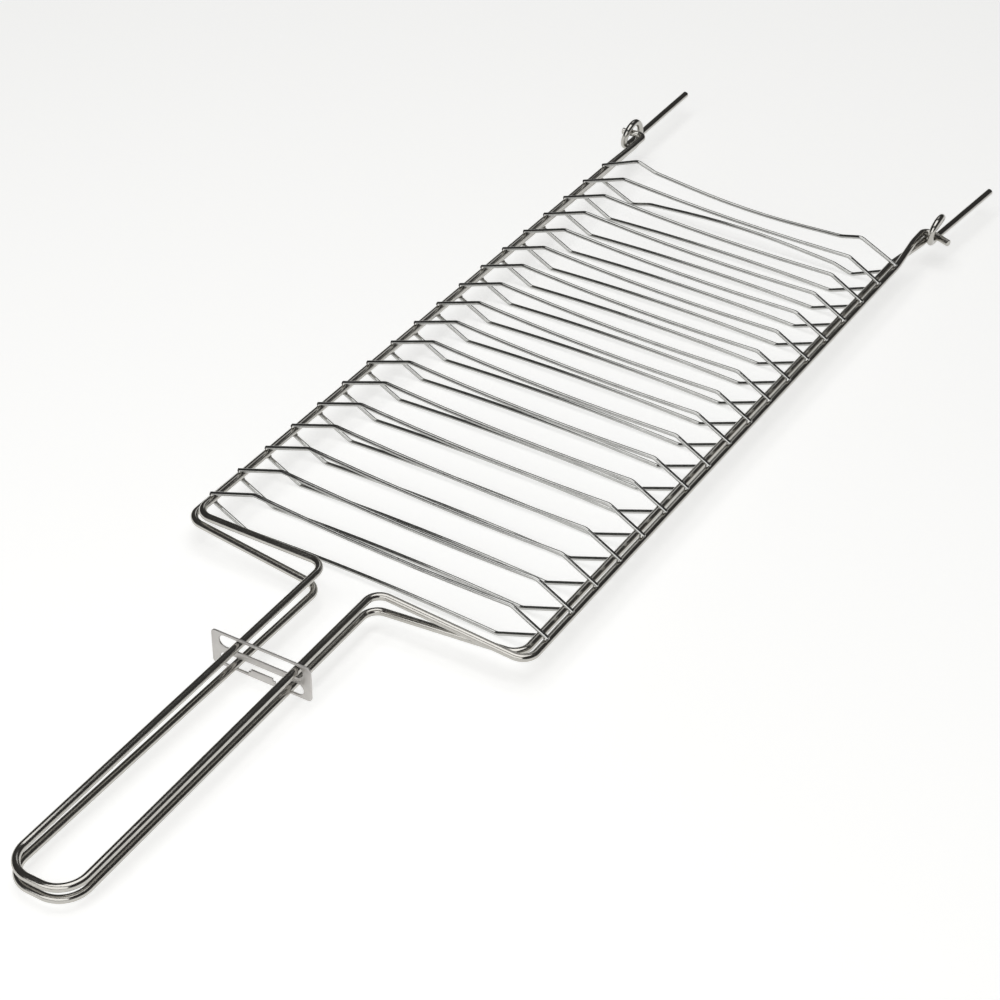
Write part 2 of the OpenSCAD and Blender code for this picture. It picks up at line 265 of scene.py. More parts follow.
class Shape:
    """Works out the rods' and wires' paths from the settings, in the grate's working frame.

    Its origin lies midway between the lower side rods' centrelines, at the upper grate's first wire.
    Y runs towards the hinge. A side is 1 for the right and -1 for the left.
    """

    def __init__(self, scene):
        self.rod, self.wires, self.lie = scene.grate_rod, scene.grate_wires, scene.grate_lie
        self.handle, self.hinge = scene.grate_handle, scene.grate_hinge
        rod, wires, lie, hinge = self.rod, self.wires, self.lie, self.hinge
        self.side_x, self.bend_x = wires.grate_w / 2, wires.plateau_w / 2
        self.weld_h = rod.rod_d / 2 + rod.wire_d / 2 - rod.weld_sink
        self.rise_z = self.weld_h + wires.plateau_rise
        self.last_y = (wires.count - 1) * wires.pitch
        self.elbow_r = wires.wire_bend_r + rod.wire_d / 2
        # Depth of the corner that is rounded to a plain wire's bow
        self.bow_vertex = wires.wire_bow / (1 - wires.bow_reach / wires.plateau_w)
        self.lower_joggle = wires.lower_y + self.last_y + hinge.joggle_gap
        self.upper_joggle = self.last_y + hinge.joggle_gap
        self.ring_y = self.last_y + hinge.gap
        self.pin_y = self.ring_y + hinge.pin_set
        self.lie_matrix = (
            Matrix.Translation((lie.x, 0, lie.z))
            @ Matrix.Rotation(lie.roll, 4, "Y")
            @ Matrix.Rotation(lie.pitch, 4, "X")
        )
        self.home = self.find_home()

    def lower_point(self, side, half, out):
        """Point of the lower handle loop, half its width aside and that far out from the first wire."""
        handle = self.handle
        share = (out - handle.lower_root_y) / (handle.end_y - handle.lower_root_y)
        z = mix(-handle.drop_root, -handle.drop_end, share)
        return Vector((side * half, -out, z + side * half * math.tan(handle.tilt)))

    def upper_point(self, side, out):
        """Point of the upper handle loop that far out from the first wire, in the upper grate's own frame."""
        handle = self.handle
        share = (out - handle.upper_root_y) / (handle.end_y - handle.upper_root_y)
        x = handle.upper_lean * (1 - share) + side * mix(handle.upper_root_w, handle.end_w, share)
        z = mix(handle.gap_root - handle.drop_root, handle.gap_end - handle.drop_end, share)
        return self.lie_matrix.inverted() @ Vector((x, -out, z + x * math.tan(handle.tilt)))

    def leg_tip(self, bend, side):
        """Tip of a wire's leg, which runs from its bend straight over the side rod."""
        # The leg's line is a tangent of the circle with radius weld_h about the side rod's centreline
        across = self.side_x - side * bend[0]
        slope = math.asin(self.weld_h / math.hypot(across, bend[2])) - math.atan2(bend[2], across)
        reach = across + self.wires.wire_over
        return Vector((bend[0] + side * reach, 0, bend[2] + reach * math.tan(slope)))

    def wire_bends(self, last):
        """Corners of a plain wire's bends, or of the last wire's, from left to right."""
        wires, x, z = self.wires, self.bend_x, self.rise_z
        if not last:
            shift = wires.plateau_shift
            return [(shift - x, 0, z), (shift, 0, z - self.bow_vertex), (shift + x, 0, z)]
        knee_x, knee_z = x - wires.knee_in, z - wires.knee_drop
        return [(-x, 0, z), (-knee_x, 0, knee_z), (0, 0, z - wires.last_sag), (knee_x, 0, knee_z), (x, 0, z)]

    def wire_path(self, last):
        """Path of a plain wire, or of the last one."""
        wires, bends = self.wires, self.wire_bends(last)
        corners = [self.leg_tip(bends[0], -1)] + bends + [self.leg_tip(bends[-1], 1)]
        if last:
            slope = (wires.last_sag - wires.knee_drop) / (self.bend_x - wires.knee_in)
            middle = [wires.knee_r, wires.sag_reach / slope, wires.knee_r]
        else:
            middle = [wires.bow_reach * self.bend_x / self.bow_vertex]
        return bend_path(corners, [self.elbow_r] + middle + [self.elbow_r])

    def frame_radii(self):
        """Bend radii of a frame from its right side rod's joggle round the handle to the left one's."""
        handle, hinge = self.handle, self.hinge
        half = [hinge.joggle_r, hinge.joggle_r, self.wires.corner_r, handle.root_r, handle.end_r]
        return half + half[::-1]

    def lower_path(self):
        """Path of the lower frame, from its right tail's tip to its left tail's."""
        handle, hinge, x = self.handle, self.hinge, self.side_x
        right, left = x + hinge.flare_right, -x - hinge.flare_left
        right_y, left_y = self.ring_y, self.ring_y + hinge.ring_set
        joggle, flared = self.lower_joggle, self.lower_joggle + hinge.joggle_len
        main = bend_path([
            (right, right_y, 0), (right, flared, 0), (x, joggle, 0), (x, -handle.lower_corner_y, 0),
            self.lower_point(1, handle.lower_root_w, handle.lower_root_y),
            self.lower_point(1, handle.end_w, handle.end_y),
            self.lower_point(-1, handle.end_w, handle.end_y),
            self.lower_point(-1, handle.lower_root_w, handle.lower_root_y),
            (-x, -handle.lower_corner_y, 0), (-x, joggle, 0), (left, flared, 0), (left, left_y, 0),
        ], self.frame_radii())
        first = self.ring_path(1, right, right_y, hinge.lean_right, hinge.tail_right, hinge.splay_right)
        last = self.ring_path(-1, -left, left_y, -hinge.lean_left, hinge.tail_left, hinge.splay_left)
        return first[::-1] + main[1:-1] + last

    def ring_path(self, side, x, y, lean, tail_len, splay):
        """From a side rod's end round its ring and out along its tail."""
        hinge, back = self.hinge, Vector((0, 1, 0))
        start = Vector((side * x, y, 0))
        top = Vector((side * (x + hinge.ring_lead / 2 + lean), y, 2 * hinge.ring_r))
        end = Vector((side * (x + hinge.ring_lead), y, 0))
        out = side * (tail_len - hinge.tail_bend) * math.tan(splay)
        corners = [end, end + Vector((0, hinge.tail_bend, 0)), end + Vector((out, tail_len, 0))]
        tail = bend_path(corners, [hinge.tail_bend_r], FAINT_STEP)
        return half_turn(start, top, back) + half_turn(top, end, -back)[1:] + tail[1:]

    def upper_path(self):
        """Path of the upper frame in its own frame, from its right pin's tip to its left pin's."""
        handle, hinge, x = self.handle, self.hinge, self.side_x
        right, left = x - hinge.draw_right, hinge.draw_left - x
        right_pin = hinge.pin_right * math.tan(hinge.over_right)
        left_pin = hinge.pin_left * math.tan(hinge.over_left)
        joggle, drawn = self.upper_joggle, self.upper_joggle + hinge.joggle_len
        return bend_path([
            (right + hinge.pin_right, self.pin_y - right_pin, 0), (right, self.pin_y, 0),
            (right, drawn, 0), (x, joggle, 0), (x, -handle.upper_corner_y - handle.corner_skew, 0),
            self.upper_point(1, handle.upper_root_y + handle.root_skew),
            self.upper_point(1, handle.end_y),
            self.upper_point(-1, handle.end_y),
            self.upper_point(-1, handle.upper_root_y - handle.root_skew),
            (-x, handle.corner_skew - handle.upper_corner_y, 0), (-x, joggle, 0), (left, drawn, 0),
            (left, self.pin_y, 0), (left - hinge.pin_left, self.pin_y - left_pin, 0),
        ], [hinge.pin_bend_r] + self.frame_radii() + [hinge.pin_bend_r])

    def find_home(self):
        """Shift from the working frame to the frame whose origin is the middle of the footprint."""
        hinge, radius = self.hinge, self.rod.rod_d / 2
        right_pin = hinge.pin_right + radius * math.sin(hinge.over_right)
        left_pin = hinge.pin_left + radius * math.sin(hinge.over_left)
        x_max = self.lie.x + self.side_x - hinge.draw_right + right_pin
        x_min = self.lie.x - self.side_x + hinge.draw_left - left_pin
        y_max = self.ring_y + max(hinge.tail_right, hinge.ring_set + hinge.tail_left)
        y_min = -self.handle.end_y - radius
        return Matrix.Translation((-(x_min + x_max) / 2, -(y_min + y_max) / 2, self.floor_z()))

    def bend_cut(self, bend, side, middle):
        """Height that rounding takes off the top of a wire's bend, with the next bend at middle."""
        leg = (Vector(bend) - self.leg_tip(bend, side)).normalized()
        onward = (Vector(middle) - Vector(bend)).normalized()
        half = leg.angle(onward) / 2
        return -(onward - leg).normalized().z * self.elbow_r / math.cos(half) - self.elbow_r

    def floor_z(self):
        """Height of the lower side rods over the floor, on which the lower wires' bends stand."""
        plain, last = self.wire_bends(False), self.wire_bends(True)
        cuts = [
            self.bend_cut(plain[0], -1, plain[1]), self.bend_cut(plain[2], 1, plain[1]),
            self.bend_cut(last[0], -1, last[1])]
        return self.rise_z + self.rod.wire_d / 2 - min(cuts)


# Node helpers and trees


ROD_TREE, WIRES_TREE = "Bent rod", "Cross wires"
# A weld's reach along its wire, across it and upwards, as shares of its radius
WELD_SHAPE = (1.0, 1.15, 0.55)
# Smallest and largest weld as shares of the plain one
WELD_SMALL, WELD_LARGE = 0.85, 1.1
WELD_SEGMENTS, WELD_RINGS = 14, 8


def tree_with(name, inputs):
    """A new geometry tree with the inputs given as (name, socket type), and its group nodes."""
    tree = bpy.data.node_groups.new(name, "GeometryNodeTree")
    tree.interface.new_socket("Geometry", in_out="INPUT", socket_type="NodeSocketGeometry")
    for label, kind in inputs:
        tree.interface.new_socket(label, in_out="INPUT", socket_type=kind)
    tree.interface.new_socket("Geometry", in_out="OUTPUT", socket_type="NodeSocketGeometry")
    return tree, tree.nodes.new("NodeGroupInput"), tree.nodes.new("NodeGroupOutput")


def add(tree, kind, inputs=(), **settings):
    """Adds a node, sets its properties, and joins or fills the inputs that are named."""
    node = tree.nodes.new(kind)
    for key, value in settings.items():
        setattr(node, key, value)
    for name, value in inputs:
        if isinstance(value, bpy.types.NodeSocket):
            tree.links.new(value, node.inputs[name])
        else:
            node.inputs[name].default_value = value
    return node


def plain_mesh(obj, modifier):
    """The plain mesh that obj's modifier makes, with the modifier taken off."""
    graph = bpy.context.evaluated_depsgraph_get()
    mesh = bpy.data.meshes.new_from_object(obj.evaluated_get(graph), depsgraph=graph)
    obj.modifiers.remove(modifier)
    return mesh


def apply_tree(obj, tree, values):
    """Puts the tree on obj with its inputs set by identifier, and returns the finished mesh."""
    modifier = obj.modifiers.new(tree.name, "NODES")
    modifier.node_group = tree
    for item in tree.interface.items_tree:
        if item.item_type == "SOCKET" and item.in_out == "INPUT" and item.name in values:
            modifier[item.identifier] = values[item.name]
    return plain_mesh(obj, modifier)


def swept(tree, curve, diameter, sides):
    """Sweeps a round section along the curve, which is thinned at its ends by the path's own shares."""
    half = add(tree, "ShaderNodeMath", [(0, diameter), (1, 0.5)], operation="MULTIPLY")
    ring = add(tree, "GeometryNodeCurvePrimitiveCircle", [("Resolution", sides), ("Radius", half.outputs[0])])
    thin = add(tree, "GeometryNodeInputNamedAttribute", [("Name", "thin")], data_type="FLOAT")
    tube = add(tree, "GeometryNodeCurveToMesh", [
        ("Curve", curve), ("Profile Curve", ring.outputs["Curve"]), ("Scale", thin.outputs["Attribute"]),
        ("Fill Caps", True)])
    return tube.outputs["Mesh"]


def rod_tree():
    """A round rod along the object's own path."""
    tree, start, end = tree_with(ROD_TREE, [
        ("Rod Diameter", "NodeSocketFloat"), ("Sides", "NodeSocketInt"), ("Material", "NodeSocketMaterial")])
    curve = add(tree, "GeometryNodeMeshToCurve", [("Mesh", start.outputs["Geometry"])])
    tube = swept(tree, curve.outputs["Curve"], start.outputs["Rod Diameter"], start.outputs["Sides"])
    real = add(tree, "GeometryNodeRealizeInstances", [("Geometry", tube)])
    paint = add(tree, "GeometryNodeSetMaterial", [
        ("Geometry", real.outputs[0]), ("Material", start.outputs["Material"])])
    tree.links.new(paint.outputs[0], end.inputs[0])
    return tree


def wire_row(tree, inp, step):
    """Wires at an even pitch along the object's own path, and the last one of its own shape."""
    last = add(tree, "GeometryNodeObjectInfo", [("Object", inp["Last Wire"])])
    plain = add(tree, "GeometryNodeMeshToCurve", [("Mesh", inp["Geometry"])])
    odd = add(tree, "GeometryNodeMeshToCurve", [("Mesh", last.outputs["Geometry"])])
    plain_tube = swept(tree, plain.outputs["Curve"], inp["Wire Diameter"], inp["Sides"])
    odd_tube = swept(tree, odd.outputs["Curve"], inp["Wire Diameter"], inp["Sides"])
    fewer = add(tree, "ShaderNodeMath", [(0, inp["Count"]), (1, 1.0)], operation="SUBTRACT")
    row = add(tree, "GeometryNodeMeshLine", [("Count", fewer.outputs[0]), ("Offset", step)])
    wires = add(tree, "GeometryNodeInstanceOnPoints", [("Points", row.outputs[0]), ("Instance", plain_tube)])
    most = add(tree, "ShaderNodeCombineXYZ", [("X", inp["Jitter"])]).outputs[0]
    least = add(tree, "ShaderNodeVectorMath", [(0, most), ("Scale", -1.0)], operation="SCALE").outputs[0]
    shift = add(tree, "FunctionNodeRandomValue", [
        ("Min", least), ("Max", most), ("Seed", inp["Seed"])], data_type="FLOAT_VECTOR")
    moved = add(tree, "GeometryNodeTranslateInstances", [
        ("Instances", wires.outputs[0]), ("Translation", shift.outputs["Value"])])
    far = add(tree, "ShaderNodeMath", [(0, fewer.outputs[0]), (1, inp["Pitch"])], operation="MULTIPLY")
    far_y = add(tree, "ShaderNodeCombineXYZ", [("Y", far.outputs[0])])
    odd_put = add(tree, "GeometryNodeTransform", [
        ("Geometry", odd_tube), ("Translation", far_y.outputs[0])])
    both = add(tree, "GeometryNodeJoinGeometry", [
        ("Geometry", moved.outputs[0]), ("Geometry", odd_put.outputs[0])])
    painted = add(tree, "GeometryNodeSetMaterial", [
        ("Geometry", both.outputs[0]), ("Material", inp["Material"])])
    return painted.outputs[0]


def weld_rows(tree, inp, step):
    """Welds on both side rods: each wire's end is squashed flat and wide where it lies on the rod."""
    bead = add(tree, "GeometryNodeMeshUVSphere", [
        ("Segments", WELD_SEGMENTS), ("Rings", WELD_RINGS), ("Radius", inp["Weld Radius"])])
    flat = add(tree, "GeometryNodeTransform", [("Geometry", bead.outputs[0]), ("Scale", WELD_SHAPE)])
    half = add(tree, "ShaderNodeMath", [(0, inp["Rod Spacing"]), (1, 0.5)], operation="MULTIPLY")
    rows = []
    for side in (-1.0, 1.0):
        x = add(tree, "ShaderNodeMath", [(0, half.outputs[0]), (1, side)], operation="MULTIPLY")
        place = add(tree, "ShaderNodeCombineXYZ", [("X", x.outputs[0]), ("Z", inp["Weld Height"])])
        rows.append(add(tree, "GeometryNodeMeshLine", [
            ("Count", inp["Count"]), ("Start Location", place.outputs[0]), ("Offset", step)]))
    points = add(tree, "GeometryNodeJoinGeometry", [("Geometry", row.outputs[0]) for row in rows])
    size = add(tree, "FunctionNodeRandomValue", [
        ("Min", WELD_SMALL), ("Max", WELD_LARGE), ("Seed", inp["Seed"])], data_type="FLOAT")
    welds = add(tree, "GeometryNodeInstanceOnPoints", [
        ("Points", points.outputs[0]), ("Instance", flat.outputs[0]), ("Scale", size.outputs["Value"])])
    painted = add(tree, "GeometryNodeSetMaterial", [
        ("Geometry", welds.outputs[0]), ("Material", inp["Weld Material"])])
    return painted.outputs[0]


def wires_tree():
    """A grate's cross wires with their welds."""
    tree, start, end = tree_with(WIRES_TREE, [
        ("Count", "NodeSocketInt"), ("Pitch", "NodeSocketFloat"), ("Wire Diameter", "NodeSocketFloat"),
        ("Sides", "NodeSocketInt"), ("Last Wire", "NodeSocketObject"), ("Weld Radius", "NodeSocketFloat"),
        ("Rod Spacing", "NodeSocketFloat"), ("Weld Height", "NodeSocketFloat"),
        ("Jitter", "NodeSocketFloat"), ("Seed", "NodeSocketInt"),
        ("Material", "NodeSocketMaterial"), ("Weld Material", "NodeSocketMaterial")])
    step = add(tree, "ShaderNodeCombineXYZ", [("Y", start.outputs["Pitch"])]).outputs[0]
    wires = wire_row(tree, start.outputs, step)
    welds = weld_rows(tree, start.outputs, step)
    whole = add(tree, "GeometryNodeJoinGeometry", [("Geometry", wires), ("Geometry", welds)])
    real = add(tree, "GeometryNodeRealizeInstances", [("Geometry", whole.outputs[0])])
    tree.links.new(real.outputs[0], end.inputs[0])
    return tree


# Materials


# Size in millimetres of the patches in which tone and roughness vary
PATCH_MM = 16.7
# Detail and roughness of the noise of the patches and of the grain, and detail of the waviness
PATCH_DETAIL, PATCH_ROUGHNESS = 4.0, 0.6
GRAIN_DETAIL, GRAIN_ROUGHNESS = 3.0, 0.7
WAVE_DETAIL = 2.0
# Range of patches times grain that is spread over the whole roughness range
SPOTS_LOW, SPOTS_HIGH = 0.1, 0.45
# Share of the grain in the relief, the rest being the slow waviness
GRAIN_SHARE = 0.25
BUMP_STRENGTH = 0.6
FLOOR_ROUGHNESS = 0.9


def linear(hex_code):
    """Linear colour of an sRGB hex code."""
    parts = [int(hex_code[i:i + 2], 16) / 255 for i in (0, 2, 4)]
    return tuple(c / 12.92 if c <= 0.04045 else ((c + 0.055) / 1.055) ** 2.4 for c in parts) + (1.0,)


def per_metre(mm):
    """Scale of a noise whose features are that many millimetres wide."""
    return 1 / (mm * MM)


def metal(name, light, dark, rough, grain, wave, depth):
    """A plated metal: two tones in patches, a grain, and a slow waviness that bends what it mirrors.

    rough is the lowest and highest roughness. grain (along X, Y and Z), wave and depth are in millimetres.
    A material that is there already is taken as it is.
    """
    if name in bpy.data.materials:
        return bpy.data.materials[name]
    mat = bpy.data.materials.new(name)
    mat.use_nodes = True
    tree = mat.node_tree
    tree.nodes.clear()
    place = add(tree, "ShaderNodeTexCoord").outputs["Object"]
    patch = add(tree, "ShaderNodeTexNoise", [
        ("Vector", place), ("Scale", per_metre(PATCH_MM)), ("Detail", PATCH_DETAIL),
        ("Roughness", PATCH_ROUGHNESS)])
    stretch = add(tree, "ShaderNodeMapping", [("Vector", place), ("Scale", [per_metre(mm) for mm in grain])])
    lines = add(tree, "ShaderNodeTexNoise", [
        ("Vector", stretch.outputs[0]), ("Scale", 1.0), ("Detail", GRAIN_DETAIL),
        ("Roughness", GRAIN_ROUGHNESS)])
    slow = add(tree, "ShaderNodeTexNoise", [
        ("Vector", place), ("Scale", per_metre(wave)), ("Detail", WAVE_DETAIL)])
    tone = add(tree, "ShaderNodeMix", [
        ("Factor", patch.outputs["Fac"]), ("A", linear(light)), ("B", linear(dark))], data_type="RGBA")
    spots = add(tree, "ShaderNodeMath", [
        (0, patch.outputs["Fac"]), (1, lines.outputs["Fac"])], operation="MULTIPLY")
    rough_map = add(tree, "ShaderNodeMapRange", [
        ("Value", spots.outputs[0]), ("From Min", SPOTS_LOW), ("From Max", SPOTS_HIGH),
        ("To Min", rough[0]), ("To Max", rough[1])])
    height = add(tree, "ShaderNodeMix", [
        ("Factor", GRAIN_SHARE), ("A", slow.outputs["Fac"]), ("B", lines.outputs["Fac"])], data_type="FLOAT")
    relief = add(tree, "ShaderNodeBump", [
        ("Height", height.outputs["Result"]), ("Strength", BUMP_STRENGTH), ("Distance", depth * MM)])
    shader = add(tree, "ShaderNodeBsdfPrincipled", [
        ("Base Color", tone.outputs["Result"]), ("Metallic", 1.0),
        ("Roughness", rough_map.outputs[0]), ("Normal", relief.outputs[0])])
    add(tree, "ShaderNodeOutputMaterial", [("Surface", shader.outputs[0])])
    return mat


def rod_metal(finish):
    # Nickel plating over drawn rod mirrors the room almost sharply: the eye gets dark and bright bands
    # that run along the rod and waver a little. Real drawing lines are some 0.05 mm apart and too fine
    # to show, so the grain is drawn 1.1 mm apart and 40 mm long, the way the side rods and handle run.
    return metal(
        "Bright nickel plating on drawn steel rod", finish.rod_light, finish.rod_dark,
        rough=(0.10, 0.22), grain=(1.1, 40.0, 1.1), wave=18.0, depth=0.12)


def wire_metal(finish):
    # The same plating on thinner wire: the eye gets a crisp light core between two thin dark outlines.
    # The grain runs along the wires and is coarsened as on the rods.
    return metal(
        "Bright nickel plating on drawn steel wire", finish.wire_light, finish.wire_dark,
        rough=(0.07, 0.17), grain=(33.0, 1.1, 1.1), wave=14.0, depth=0.1)


def weld_metal(finish):
    # Plating over the squashed skin of a spot weld: the eye gets a small bright bead on each wire's end.
    # The weld's own pits are a few tenths of a millimetre wide and are drawn 2.5 mm wide to show.
    return metal(
        "Nickel plating over spot weld nuggets", finish.weld_light, finish.weld_dark,
        rough=(0.18, 0.38), grain=(2.5, 2.5, 2.5), wave=3.3, depth=0.2)


def plate_metal(finish):
    # Matt zinc on rolled and punched sheet: the eye gets an even soft grey that mirrors nothing.
    # The rolling lines run across the plate, 0.7 mm apart in place of some 0.1 mm so that they show.
    return metal(
        "Matt zinc plating on punched steel sheet", finish.plate_light, finish.plate_dark,
        rough=(0.42, 0.58), grain=(16.7, 0.7, 0.7), wave=25.0, depth=0.06)


def floor_card(stage):
    # Matt white card lit from below as on a light table: the eye gets a nearly white floor on which
    # the rods' shadows stay faint.
    mat = bpy.data.materials.new("Matt white card")
    mat.use_nodes = True
    shader = mat.node_tree.nodes["Principled BSDF"]
    shader.inputs["Base Color"].default_value = linear(stage.floor_colour)
    shader.inputs["Roughness"].default_value = FLOOR_ROUGHNESS
    shader.inputs["Emission Color"].default_value = linear(stage.floor_colour)
    shader.inputs["Emission Strength"].default_value = stage.floor_glow
    return mat


# Objects


# Angle in degrees over which an edge is shaded sharp
SHARP_EDGE = 35
# Distance in metres under which two points of the plate's solid are one, and angle in degrees under
# which two of its faces are one flat face
SAME_POINT, SAME_FACE = 1e-6, 0.5
# Angle in degrees from which the plate's edges are rounded, and facets of the rounding
PUNCHED_EDGE, EDGE_FACETS = 50, 2
# Fixed seeds of the scatter of the wires and of the welds' sizes
UPPER_SEED, LOWER_SEED = 7, 11


def path_object(name, path, matrix, edge, radius):
    """A line of edges along the path, with the points and the shares that thin a cut end."""
    head, tail = (path[1] - path[0]).normalized(), (path[-2] - path[-1]).normalized()
    points = [path[0], path[0] + head * edge] + path[1:-1] + [path[-1] + tail * edge, path[-1]]
    cut = 1 - edge / radius
    mesh = bpy.data.meshes.new(name)
    mesh.from_pydata([matrix @ point for point in points], [(i, i + 1) for i in range(len(points) - 1)], [])
    shares = mesh.attributes.new("thin", "FLOAT", "POINT")
    shares.data.foreach_set("value", [cut] + [1.0] * (len(points) - 2) + [cut])
    obj = bpy.data.objects.new(name, mesh)
    bpy.context.collection.objects.link(obj)
    return obj


def settle(obj, mesh, name, body, nodes):
    """Gives obj its finished mesh in place of its old one and joins it to the frame."""
    old = obj.data
    obj.data = mesh
    mesh.name = name
    bpy.data.meshes.remove(old)
    mesh.shade_smooth()
    mesh.set_sharp_from_angle(angle=math.radians(SHARP_EDGE))
    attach(obj, body)
    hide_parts(*nodes)


def build_frame(context, name, path, matrix, body, node):
    """Sweeps a frame's rod along its path."""
    rod = context.scene.grate_rod
    obj = path_object(name, path, matrix, rod.cut_edge, rod.rod_d / 2)
    tree = bpy.data.node_groups.get(ROD_TREE) or rod_tree()
    mesh = apply_tree(obj, tree, {
        "Rod Diameter": rod.rod_d, "Sides": rod.rod_sides,
        "Material": rod_metal(context.scene.grate_finish)})
    settle(obj, mesh, name, body, [node])


def build_wires(context, name, matrix, body, prefix, seed):
    """Lays a grate's cross wires and their welds."""
    shape, finish = Shape(context.scene), context.scene.grate_finish
    rod, wires = shape.rod, shape.wires
    edge = rod.cut_edge * rod.wire_d / rod.rod_d
    obj = path_object(name, shape.wire_path(False), Matrix(), edge, rod.wire_d / 2)
    last = path_object(name + "_last", shape.wire_path(True), Matrix(), edge, rod.wire_d / 2)
    tree = bpy.data.node_groups.get(WIRES_TREE) or wires_tree()
    mesh = apply_tree(obj, tree, {
        "Count": wires.count, "Pitch": wires.pitch, "Wire Diameter": rod.wire_d, "Sides": rod.wire_sides,
        "Last Wire": last, "Weld Radius": rod.weld_r, "Rod Spacing": wires.grate_w,
        "Weld Height": shape.weld_h, "Jitter": wires.jitter, "Seed": seed,
        "Material": wire_metal(finish), "Weld Material": weld_metal(finish)})
    last_path = last.data
    bpy.data.objects.remove(last)
    bpy.data.meshes.remove(last_path)
    mesh.transform(matrix)
    nodes = ["%s_wire_%02d" % (prefix, i + 1) for i in range(wires.count)]
    settle(obj, mesh, name, body, nodes)


def whole_faced(source):
    """A copy of a solid's mesh with its flat faces in one piece, so that only true edges are left."""
    mesh = source.copy()
    work = bmesh.new()
    work.from_mesh(mesh)
    bmesh.ops.remove_doubles(work, verts=work.verts, dist=SAME_POINT)
    bmesh.ops.dissolve_limit(
        work, angle_limit=math.radians(SAME_FACE), verts=work.verts, edges=work.edges, delimit=set())
    work.to_mesh(mesh)
    work.free()
    return mesh


def build_plate(context, name, body, node):
    """Rounds the punched edges of the plate's own solid."""
    obj = bpy.data.objects.new(name, whole_faced(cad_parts[node].data))
    context.collection.objects.link(obj)
    roll = obj.modifiers.new("Die roll", "BEVEL")
    roll.width = context.scene.grate_plate.die_roll
    roll.segments = EDGE_FACETS
    roll.limit_method = "ANGLE"
    roll.angle_limit = math.radians(PUNCHED_EDGE)
    mesh = plain_mesh(obj, roll)
    mesh.materials.clear()
    mesh.materials.append(plate_metal(context.scene.grate_finish))
    settle(obj, mesh, name, body, [node])


# Stage


# Half the floor's width, and its gap under the grate, in metres
FLOOR_HALF, FLOOR_GAP = 6.0, 0.0003
# Slightly warm light of the dim room
ROOM_COLOUR = (1.0, 0.985, 0.96, 1.0)
SENSOR_MM = 36.0
# Nearest and farthest distance that the camera sees, in metres
CLIP_NEAR, CLIP_FAR = 0.05, 50.0
# Soft lamps: name, place, target and size in metres, power in watts.
# The first lights the floor and the tops of the cross wires as far left as in the photo.
# The second makes the pale core of the wires from their middle to the right.
# The third draws the light band along the handle and the side rods.
LAMPS = (
    ("Overhead_softbox", (0.035, -0.22, 1.5), (0.035, -0.22, 0.0), (1.37, 1.35), 10.0),
    ("Front_softbox", (0.165, -1.0, 0.56), (0.165, 0.0, 0.56), (1.17, 0.9), 5.0),
    ("Back_softbox", (-0.3, 0.95, 1.0), (0.0, 0.0, 0.0), (0.5, 0.6), 0.6),
)


def lay_floor(stage):
    """A square floor just under the grate."""
    far, near = FLOOR_HALF, -FLOOR_HALF
    mesh = bpy.data.meshes.new("Floor")
    mesh.from_pydata([(near, near, 0), (far, near, 0), (far, far, 0), (near, far, 0)], [], [(0, 1, 2, 3)])
    mesh.materials.append(floor_card(stage))
    floor = bpy.data.objects.new("Floor", mesh)
    floor.location.z = -FLOOR_GAP
    bpy.context.collection.objects.link(floor)


def dim_room(stage):
    """A dim room around the lamps' light."""
    world = bpy.data.worlds.new("Dim room")
    world.use_nodes = True
    light = world.node_tree.nodes["Background"]
    light.inputs["Color"].default_value = ROOM_COLOUR
    light.inputs["Strength"].default_value = stage.world
    bpy.context.scene.world = world


def soft_lamp(name, place, target, size, power):
    """A soft rectangular lamp that faces the target."""
    data = bpy.data.lights.new(name, "AREA")
    data.shape = "RECTANGLE"
    data.size, data.size_y = size
    data.energy = power
    lamp = bpy.data.objects.new(name, data)
    lamp.location = place
    lamp.rotation_euler = (Vector(target) - Vector(place)).to_track_quat("-Z", "Y").to_euler()
    bpy.context.collection.objects.link(lamp)


def aim_camera(stage, home):
    """The camera at the photo's angle, with its place given from the first wire."""
    camera = bpy.data.objects.new("Camera", bpy.data.cameras.new("Camera"))
    camera.data.lens, camera.data.sensor_width = stage.focal, SENSOR_MM
    camera.data.clip_start, camera.data.clip_end = CLIP_NEAR, CLIP_FAR
    azimuth, elevation, roll = stage.azimuth, stage.elevation, stage.roll
    level_share = math.cos(elevation)
    ahead = Vector((
        -math.sin(azimuth) * level_share, math.cos(azimuth) * level_share, -math.sin(elevation)))
    level = Vector((math.cos(azimuth), math.sin(azimuth), 0))
    plumb = level.cross(ahead)
    right = math.cos(roll) * level + math.sin(roll) * plumb
    up = -math.sin(roll) * level + math.cos(roll) * plumb
    turn = Matrix((right, up, -ahead)).transposed().to_4x4()
    camera.matrix_world = Matrix.Translation(home @ Vector(stage.place)) @ turn
    bpy.context.collection.objects.link(camera)
    bpy.context.scene.camera = camera


# Operators


class GRATE_OT_lower_frame(Operator):
    """Bend the lower frame from one rod, with its handle loop, rings and tails"""

    bl_idname = "grate.lower_frame"
    bl_label = "Lower frame"

    def execute(self, context):
        shape = Shape(context.scene)
        build_frame(context, "lower_frame_rod", shape.lower_path(), shape.home, "lower_grate", "lower_frame")
        return {"FINISHED"}


class GRATE_OT_upper_frame(Operator):
    """Bend the upper frame from one rod, with its handle loop and pins"""

    bl_idname = "grate.upper_frame"
    bl_label = "Upper frame"

    def execute(self, context):
        shape = Shape(context.scene)
        matrix = shape.home @ shape.lie_matrix
        build_frame(context, "upper_frame_rod", shape.upper_path(), matrix, "upper_grate", "upper_frame")
        return {"FINISHED"}


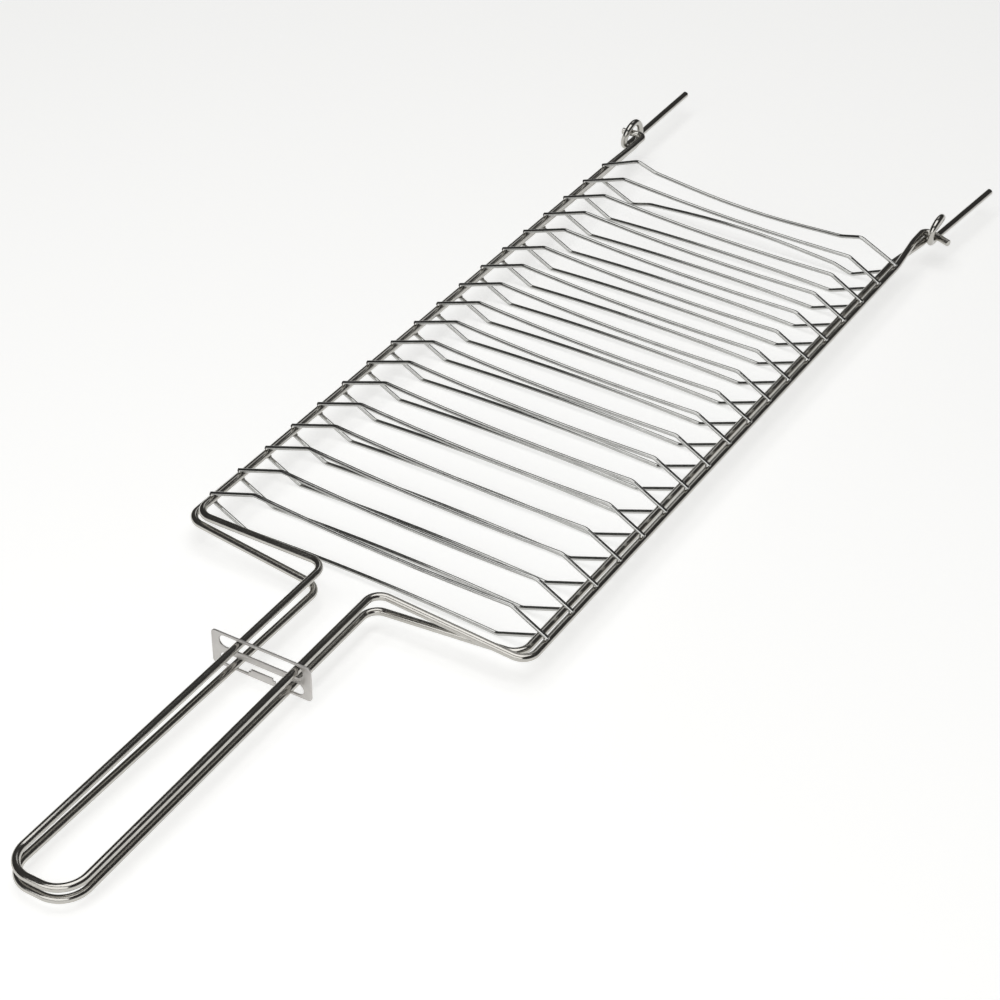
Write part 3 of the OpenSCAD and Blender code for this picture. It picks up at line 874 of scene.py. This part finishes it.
class GRATE_OT_upper_wires(Operator):
    """Lay the upper grate's cross wires and their welds"""

    bl_idname = "grate.upper_wires"
    bl_label = "Upper cross wires"

    def execute(self, context):
        shape = Shape(context.scene)
        matrix = shape.home @ shape.lie_matrix
        build_wires(context, "upper_cross_wires", matrix, "upper_grate", "upper", UPPER_SEED)
        return {"FINISHED"}


class GRATE_OT_lower_wires(Operator):
    """Lay the lower grate's cross wires and their welds, turned over"""

    bl_idname = "grate.lower_wires"
    bl_label = "Lower cross wires"

    def execute(self, context):
        shape = Shape(context.scene)
        turned = Matrix.Translation((0, shape.wires.lower_y, 0)) @ Matrix.Rotation(math.pi, 4, "Y")
        build_wires(context, "lower_cross_wires", shape.home @ turned, "lower_grate", "lower", LOWER_SEED)
        return {"FINISHED"}


class GRATE_OT_latch_plate(Operator):
    """Round the punched edges of the latch plate"""

    bl_idname = "grate.latch_plate"
    bl_label = "Latch plate"

    def execute(self, context):
        build_plate(context, "punched_latch_plate", "latch", "latch_plate")
        return {"FINISHED"}


class GRATE_OT_stage(Operator):
    """Set the pale floor, the soft lamps and the camera"""

    bl_idname = "grate.stage"
    bl_label = "Stage"

    def execute(self, context):
        stage = context.scene.grate_stage
        lay_floor(stage)
        dim_room(stage)
        for lamp in LAMPS:
            soft_lamp(*lamp)
        aim_camera(stage, Shape(context.scene).home)
        context.scene.view_settings.view_transform = "Standard"
        return {"FINISHED"}


OPERATORS = (
    GRATE_OT_lower_frame,
    GRATE_OT_upper_frame,
    GRATE_OT_lower_wires,
    GRATE_OT_upper_wires,
    GRATE_OT_latch_plate,
    GRATE_OT_stage,
)


class GRATE_PT_panel(Panel):
    """Sizes, colours and building steps of the grill grate"""

    bl_idname = "GRATE_PT_panel"
    bl_label = "Grill grate"
    bl_space_type = "VIEW_3D"
    bl_region_type = "UI"
    bl_category = "Grill grate"

    def draw(self, context):
        for holder in SETTINGS:
            box = self.layout.box()
            group = getattr(context.scene, holder)
            for name in group.__annotations__:
                box.prop(group, name)
        for op in OPERATORS:
            self.layout.operator(op.bl_idname)


SETTINGS = {
    "grate_rod": RodSettings,
    "grate_wires": WireSettings,
    "grate_lie": LieSettings,
    "grate_handle": HandleSettings,
    "grate_hinge": HingeSettings,
    "grate_plate": PlateSettings,
    "grate_finish": FinishSettings,
    "grate_stage": StageSettings,
}
CLASSES = (*SETTINGS.values(), *OPERATORS, GRATE_PT_panel)


def register():
    for cls in CLASSES:
        bpy.utils.register_class(cls)
    for holder, cls in SETTINGS.items():
        setattr(bpy.types.Scene, holder, PointerProperty(type=cls))


def unregister():
    for holder in SETTINGS:
        delattr(bpy.types.Scene, holder)
    for cls in reversed(CLASSES):
        bpy.utils.unregister_class(cls)


def main():
    register()
    bpy.ops.grate.lower_frame()
    bpy.ops.grate.upper_frame()
    bpy.ops.grate.lower_wires()
    bpy.ops.grate.upper_wires()
    bpy.ops.grate.latch_plate()
    bpy.ops.grate.stage()
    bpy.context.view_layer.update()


if __name__ == "__main__":
    main()
